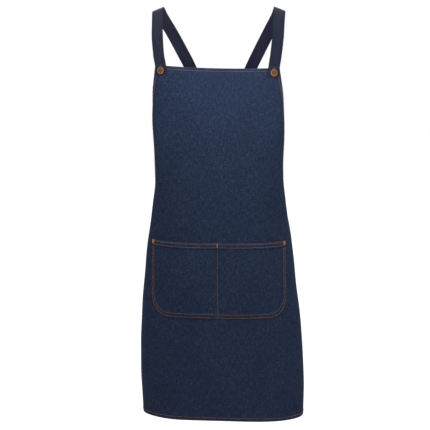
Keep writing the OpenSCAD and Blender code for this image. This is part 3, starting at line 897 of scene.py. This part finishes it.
def cap_ribs(r, turn):
    return 0.11 * np.cos(RIB_COUNT * turn) * bell(r - (CAP_RADIUS - 3.2), 0.5)


def tack_profile():
    """The tack from its domed head, behind the cloth, to its pointed nail."""
    low = -CAD_HEM - 0.95
    head = arc(0, low + 14.2, 14.2, -89, -73.5, 8)
    rim = [(4.35, low + 0.75), (4.45, low + 0.9), (4.3, -CAD_HEM)]
    root = [(NAIL_RADIUS + 0.4, -CAD_HEM), (NAIL_RADIUS, -CAD_HEM + 0.3)]
    nail = [(NAIL_RADIUS, CAP_BASE), (0.3, CAP_BASE + 1.1)]
    return np.concatenate([head, rim, root, nail])


def build_button(name, brass, dull, core):
    place, axis = button_place(name)
    profile, patina = cap_profile()
    cap = lathe(f"{name}_cap_ribbed", profile, place, axis, brass, patina, cap_ribs)
    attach(cap, f"{name}_button")
    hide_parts(f"{name}_cap")
    tack = tack_profile()
    head = lathe(f"{name}_tack_domed", tack, place, axis, dull, np.full(len(tack), 0.3))
    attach(head, "root")
    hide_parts(f"{name}_tack")
    dress(f"{name}_shank", dull)
    dress(f"{name}_insert", core)


def dress(name, material):
    """A CAD node keeps its shape and gets a better material."""
    mesh = frame["nodes"][name].data
    mesh.materials.clear()
    mesh.materials.append(material)


# ---- Materials ----


def node(tree, kind, inputs=None, **settings):
    """A shader node. An input's value may be a number, a colour or another node's output."""
    made = tree.nodes.new(kind)
    for key, value in settings.items():
        setattr(made, key, value)
    for key, value in (inputs or {}).items():
        if isinstance(value, bpy.types.NodeSocket):
            tree.links.new(value, made.inputs[key])
        else:
            made.inputs[key].default_value = value
    return made


def blank_material(name, **sockets):
    """A material with a Principled shader, whose constant values go on its own sockets."""
    material = bpy.data.materials.new(name)
    material.use_nodes = True
    tree = material.node_tree
    shader = tree.nodes["Principled BSDF"]
    for key, value in sockets.items():
        shader.inputs[key.replace("_", " ")].default_value = value
    return material, tree, shader


def speckle(tree, place, sizes, detail=2.0):
    """Noise whose grains are about sizes metres long in each direction."""
    scale = (1 / sizes[0], 1 / sizes[1], 1 / sizes[-1])
    where = node(tree, "ShaderNodeMapping", {"Vector": place, "Scale": scale}).outputs[0]
    inputs = {"Vector": where, "Scale": 1.0, "Detail": detail, "Roughness": 0.6}
    return node(tree, "ShaderNodeTexNoise", inputs).outputs[0]


def ribs(tree, place, pitch, turn, distortion):
    """Parallel bands that repeat every pitch metres."""
    spun = node(tree, "ShaderNodeMapping", {"Vector": place, "Rotation": (0, 0, turn)}).outputs[0]
    inputs = {"Vector": spun, "Scale": math.tau / 20 / pitch, "Distortion": distortion}
    inputs.update({"Detail": 2.0, "Detail Scale": 1.5})
    return node(tree, "ShaderNodeTexWave", inputs, wave_type="BANDS", bands_direction="X").outputs["Fac"]


def ranged(tree, value, low, high, from_low, to_high):
    """A value between low and high, moved to lie between from_low and to_high."""
    inputs = {0: value, 1: low, 2: high, 3: from_low, 4: to_high}
    return node(tree, "ShaderNodeMapRange", inputs).outputs[0]


def weighed(tree, parts):
    """The sum of several textures, each times its weight."""
    total = 0.0
    for texture, weight in parts:
        times = node(tree, "ShaderNodeMath", {0: texture, 1: weight, 2: total}, operation="MULTIPLY_ADD")
        total = times.outputs[0]
    return total


def ramp(tree, factor, stops):
    made = node(tree, "ShaderNodeValToRGB", {"Fac": factor})
    elements = made.color_ramp.elements
    while len(elements) < len(stops):
        elements.new(0.5)
    for element, (position, colour) in zip(elements, stops):
        element.position = position
        element.color = (*colour, 1)
    return made.outputs["Color"]


def blended(tree, factor, a, b):
    made = node(tree, "ShaderNodeMix", {"Factor": factor}, data_type="RGBA")
    for socket, value in ((made.inputs[6], a), (made.inputs[7], b)):
        if isinstance(value, bpy.types.NodeSocket):
            tree.links.new(value, socket)
        else:
            socket.default_value = (*value, 1)
    return made.outputs[2]


def paint(tree, shader, colour):
    tree.links.new(colour, shader.inputs["Base Color"])


def bumped(tree, shader, height, distance, strength):
    made = node(tree, "ShaderNodeBump", {"Height": height, "Distance": distance, "Strength": strength})
    tree.links.new(made.outputs["Normal"], shader.inputs["Normal"])


def attribute(tree, name):
    return node(tree, "ShaderNodeAttribute", attribute_name=name).outputs["Fac"]


def uv_place(tree):
    return node(tree, "ShaderNodeUVMap", uv_map="cloth").outputs["UV"]


def object_place(tree):
    return node(tree, "ShaderNodeTexCoord").outputs["Object"]


def scaled(colour, times):
    return tuple(channel * times for channel in colour)


TWILL_TURN = math.radians(63)
TWILL_PITCH = 0.0013


def denim(name, indigo):
    """Indigo twill: fine diagonal wales, uneven warp yarns, cloudy dye, and edges painted pale as wear and as
    a painted highlight.
    """
    material, tree, shader = blank_material(
        name, Roughness=0.92, Sheen_Weight=0.03, Sheen_Roughness=0.5, Specular_IOR_Level=0.06
    )
    shader.inputs["Sheen Tint"].default_value = (0.45, 0.55, 0.8, 1)
    place = uv_place(tree)
    twill = ribs(tree, place, TWILL_PITCH, TWILL_TURN, 0.6)
    warp = speckle(tree, place, (0.0011, 0.016))
    slub = speckle(tree, place, (0.0022, 0.009))
    weft = speckle(tree, place, (0.0085, 0.0019))
    grain = speckle(tree, place, (0.0027, 0.0031))
    cloud = speckle(tree, place, (0.05, 0.08))
    yarns = [(twill, 0.1), (warp, 0.28), (slub, 0.42), (weft, 0.28), (grain, 0.4), (cloud, 0.08)]
    tone = weighed(tree, yarns)
    stops = [(0.5, scaled(indigo, 0.25)), (0.78, indigo), (1.0, scaled(indigo, 2.4))]
    colour = ramp(tree, tone, stops)
    # Within about 2 mm of each folded edge the cloth is painted paler: this is partly wear and partly a
    # painted highlight along the fold.
    distance = ranged(tree, attribute(tree, "edge"), 0.0, WEAR_AND_HIGHLIGHT_REACH, 0.0, 1.0)
    rubbed = ramp(tree, distance, [(0.0, (1,) * 3), (0.06, (0.8,) * 3), (0.16, (0.1,) * 3), (1.0, (0,) * 3)])
    rim_wear_and_highlight = node(tree, "ShaderNodeMath", {0: rubbed, 1: grain}, operation="MULTIPLY").outputs[0]
    paint(tree, shader, blended(tree, rim_wear_and_highlight, colour, (0.075, 0.092, 0.13)))
    height = weighed(tree, [(twill, 0.5), (warp, 0.5), (weft, 0.25), (slub, 0.6)])
    bumped(tree, shader, height, 0.00035, 0.7)
    return material


def denim_reverse(name):
    """The inside of the twill, where the undyed weft shows between the indigo yarns."""
    material, tree, shader = blank_material(name, Roughness=0.92, Sheen_Weight=0.25, Specular_IOR_Level=0.2)
    place = uv_place(tree)
    twill = ribs(tree, place, TWILL_PITCH, -TWILL_TURN, 0.6)
    weft = speckle(tree, place, (0.012, 0.0011))
    cloud = speckle(tree, place, (0.05, 0.05))
    tone = weighed(tree, [(twill, 0.4), (weft, 0.7), (cloud, 0.1)])
    stops = [(0.3, (0.035, 0.05, 0.09)), (0.65, (0.085, 0.105, 0.155)), (0.95, (0.19, 0.21, 0.25))]
    paint(tree, shader, ramp(tree, tone, stops))
    bumped(tree, shader, weighed(tree, [(twill, 0.5), (weft, 0.7)]), 0.0003, 0.7)
    return material


def strap_tape(name):
    """Woven navy tape with a fine diagonal, and darker, tighter edges."""
    material, tree, shader = blank_material(
        name, Roughness=0.85, Sheen_Weight=0.12, Sheen_Roughness=0.5, Specular_IOR_Level=0.18
    )
    place = uv_place(tree)
    twill = ribs(tree, place, 0.0017, math.radians(52), 0.3)
    yarn = speckle(tree, place, (0.0009, 0.007))
    pick = ribs(tree, place, 0.0009, math.radians(90), 0.4)
    cloud = speckle(tree, place, (0.012, 0.04), 3.0)
    tone = weighed(tree, [(twill, 0.34), (yarn, 0.34), (pick, 0.1), (cloud, 0.36)])
    stops = [(0.25, (0.004, 0.005, 0.014)), (0.6, (0.0115, 0.0138, 0.036)), (0.95, (0.034, 0.039, 0.086))]
    colour = ramp(tree, tone, stops)
    across = node(tree, "ShaderNodeSeparateXYZ", {"Vector": place}).outputs["X"]
    reach = node(tree, "ShaderNodeMath", {0: across}, operation="ABSOLUTE").outputs[0]
    selvedge = ranged(tree, reach, 0.0094, 0.0118, 0.0, 0.62)
    paint(tree, shader, blended(tree, selvedge, colour, (0.006, 0.007, 0.015)))
    bumped(tree, shader, weighed(tree, [(twill, 0.7), (yarn, 0.4), (pick, 0.3)]), 0.0003, 0.8)
    return material


def thread(name, colours):
    """Twisted thread, each stitch a little different."""
    material, tree, shader = blank_material(name, Roughness=0.55, Sheen_Weight=0.3, Specular_IOR_Level=0.4)
    place = object_place(tree)
    fibre = speckle(tree, place, (0.0004,) * 3)
    worn = speckle(tree, place, (0.02,) * 3)
    tone = weighed(tree, [(attribute(tree, "shade"), 0.3), (fibre, 0.35), (worn, 0.4)])
    paint(tree, shader, ramp(tree, tone, list(zip((0.25, 0.55, 0.85), colours))))
    bumped(tree, shader, fibre, 0.0002, 0.8)
    return material


def aged_metal(name, bright, dark, roughness):
    """Brass that has gone brown in its hollows, with rubbed high spots and fine scratches."""
    material, tree, shader = blank_material(name, Metallic=0.82)
    place = object_place(tree)
    stain = speckle(tree, place, (0.0022,) * 3, 5.0)
    scratch = speckle(tree, place, (0.0001, 0.0026, 0.0009), 3.0)
    tone = weighed(tree, [(attribute(tree, "patina"), 0.48), (stain, 0.55), (scratch, 0.15)])
    middle = [(a + b) / 2 for a, b in zip(bright, dark)]
    paint(tree, shader, ramp(tree, tone, [(0.28, bright), (0.5, middle), (0.85, dark)]))
    rough = ranged(tree, tone, 0.2, 0.9, roughness, roughness + 0.25)
    tree.links.new(rough, shader.inputs["Roughness"])
    bumped(tree, shader, weighed(tree, [(stain, 0.5), (scratch, 0.5)]), 0.00008, 0.8)
    return material


def moulded_core(name):
    """Dark moulded plastic, with a fine grain."""
    material, tree, shader = blank_material(name, Roughness=0.6)
    grain = speckle(tree, object_place(tree), (0.0008,) * 3, 3.0)
    paint(tree, shader, ramp(tree, grain, [(0.3, (0.03, 0.03, 0.032)), (0.7, (0.055, 0.054, 0.052))]))
    bumped(tree, shader, grain, 0.00005, 0.5)
    return material


def studio_floor(name):
    """A white floor that glows a little, so that it meets the backdrop without an edge."""
    material, tree, shader = blank_material(name, Roughness=0.9)
    tint = speckle(tree, object_place(tree), (1.4,) * 3)
    paint(tree, shader, ramp(tree, tint, [(0.3, (0.93,) * 3), (0.7, (0.96,) * 3)]))
    shader.inputs["Emission Color"].default_value = (1, 1, 1, 1)
    shader.inputs["Emission Strength"].default_value = 0.85
    return material


# ---- Studio ----

FLOOR_Z = -1.55
FLOOR_RADIUS = 30
CAMERA_DISTANCE, CAMERA_AZIMUTH = 3.0, 2.7
CAMERA_Z, AIM = -0.221, (-0.0065, -0.03, -0.4195)
HALF_VIEW = math.radians(8.32)


def build_floor():
    steps = 96
    turn = np.arange(steps) * math.tau / steps
    ring = np.stack([np.cos(turn), np.sin(turn), 0 * turn], -1) * FLOOR_RADIUS / MM + [0, 0, FLOOR_Z / MM]
    floor = new_object("studio_floor", ring, [tuple(range(steps))], studio_floor("pale_floor"), smooth=False)
    floor.visible_diffuse = False


# Brightness of the studio below and above the white backdrop round its horizon.
GROUND, SKY = 0.1, 0.32


def build_world():
    world = bpy.data.worlds.new("studio")
    bpy.context.scene.world = world
    world.use_nodes = True
    tree = world.node_tree
    way = node(tree, "ShaderNodeTexCoord").outputs["Generated"]
    height = node(tree, "ShaderNodeSeparateXYZ", {"Vector": way}).outputs["Z"]
    level = ranged(tree, height, -1.0, 1.0, 0.0, 1.0)
    stops = [(0.44, (GROUND,) * 3), (0.47, (1, 1, 1)), (0.54, (1, 1, 1)), (0.6, (SKY,) * 3)]
    tree.links.new(ramp(tree, level, stops), tree.nodes["Background"].inputs["Color"])


def soft_light(name, place, aim, size, power, spread=math.pi):
    data = bpy.data.lights.new(name, "AREA")
    data.shape = "RECTANGLE"
    data.size, data.size_y = size
    data.energy, data.spread = power, spread
    light = bpy.data.objects.new(name, data)
    light.location = place
    light.rotation_mode = "QUATERNION"
    light.rotation_quaternion = (Vector(aim) - Vector(place)).to_track_quat("-Z", "Y")
    bpy.context.scene.collection.objects.link(light)


def build_lights():
    soft_light("key", (0.3, -1.3, 0.65), (-0.03, 0, -0.35), (0.9, 0.8), 11)
    soft_light("fill", (0.1, -2.4, -0.35), (0, 0.1, 0.1), (0.5, 0.4), 0.7, math.radians(22))
    soft_light("rim", (2.6, 0.5, 0.4), (0, 0, -0.3), (0.8, 1.6), 4)
    soft_light("top", (-0.1, -0.4, 2.1), (0, 0, -0.1), (1.2, 0.8), 9)
    soft_light("back", (-0.9, 2.2, 0.5), (0, 0, -0.42), (1.4, 1.4), 22)


def build_camera():
    data = bpy.data.cameras.new("camera")
    data.sensor_width = 36
    data.lens = data.sensor_width / 2 / math.tan(HALF_VIEW)
    data.clip_end = 100
    camera = bpy.data.objects.new("camera", data)
    turn = math.radians(CAMERA_AZIMUTH)
    across, ahead = CAMERA_DISTANCE * math.sin(turn), CAMERA_DISTANCE * math.cos(turn)
    place = Vector((AIM[0] + across, AIM[1] - ahead, CAMERA_Z))
    camera.location = place
    camera.rotation_mode = "QUATERNION"
    camera.rotation_quaternion = (Vector(AIM) - place).to_track_quat("-Z", "Y")
    bpy.context.scene.collection.objects.link(camera)
    bpy.context.scene.camera = camera
    bpy.context.scene.view_settings.view_transform = "Standard"


# ---- Assembly ----

build_camera()
build_world()
build_lights()
build_floor()

DARK_INDIGO = (0.0225, 0.0355, 0.0735)
body_denim = denim("body_denim", DARK_INDIGO)
pocket_denim = denim("pocket_denim", scaled(DARK_INDIGO, 1.06))
reverse_denim = denim_reverse("denim_reverse")
navy_tape = strap_tape("strap_tape")
copper = thread("copper_thread", [(0.17, 0.056, 0.016), (0.33, 0.11, 0.028), (0.46, 0.17, 0.048)])
bright_copper = thread("bar_tack_thread", [(0.3, 0.09, 0.016), (0.46, 0.15, 0.025), (0.62, 0.22, 0.045)])
navy_thread = thread("navy_thread", [(0.012, 0.014, 0.026), (0.022, 0.025, 0.045), (0.04, 0.045, 0.075)])
brass = aged_metal("antique_brass", (0.42, 0.22, 0.08), (0.17, 0.085, 0.03), 0.5)
dull_brass = aged_metal("dull_brass", (0.42, 0.3, 0.16), (0.16, 0.1, 0.05), 0.4)
core = moulded_core("button_core")

panel, panel_area = build_panel([body_denim, reverse_denim])
pocket, pocket_area = build_pocket([pocket_denim, reverse_denim])
build_panel_stitches(copper)
build_pocket_stitches(copper)
build_bar_tacks(bright_copper)
for side in SIDES.values():
    strap, strap_length = build_strap(side, navy_tape)
    build_strap_stitches(side, navy_thread)
for place in ("front", "rear"):
    for word in SIDES:
        build_button(f"{place}_{word}", brass, dull_brass, core)
